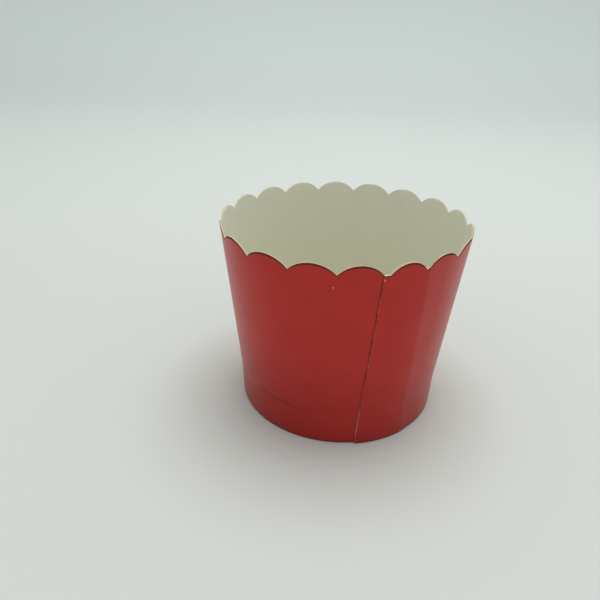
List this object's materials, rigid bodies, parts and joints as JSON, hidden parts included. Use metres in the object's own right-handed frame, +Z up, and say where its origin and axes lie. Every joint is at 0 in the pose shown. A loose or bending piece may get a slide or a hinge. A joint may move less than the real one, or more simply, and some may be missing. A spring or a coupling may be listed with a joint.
{
  "type": "foil baking cup",
  "caption": "Free-standing conical baking cup of foil-laminated paper with a scalloped edge, a glued overlap seam, a folded foot and a recessed base disc.",
  "frame": {"origin": "centre of the box round the cup, at the floor that the folded foot stands on", "axes": "+Z up out of the mouth; -Y is the side that shows the seam, with +X to its right"},
  "size_m": [0.0574, 0.0568, 0.046],
  "materials": {
    "foil_paper": "satin red metal foil laminated to paper, plain cream paper on the inside",
    "paper_board": "matt cream greaseproof paper board"
  },
  "bodies": {
    "root": {"side_wall": "foil_paper", "base_disc": "paper_board"}
  },
  "joints": []
}
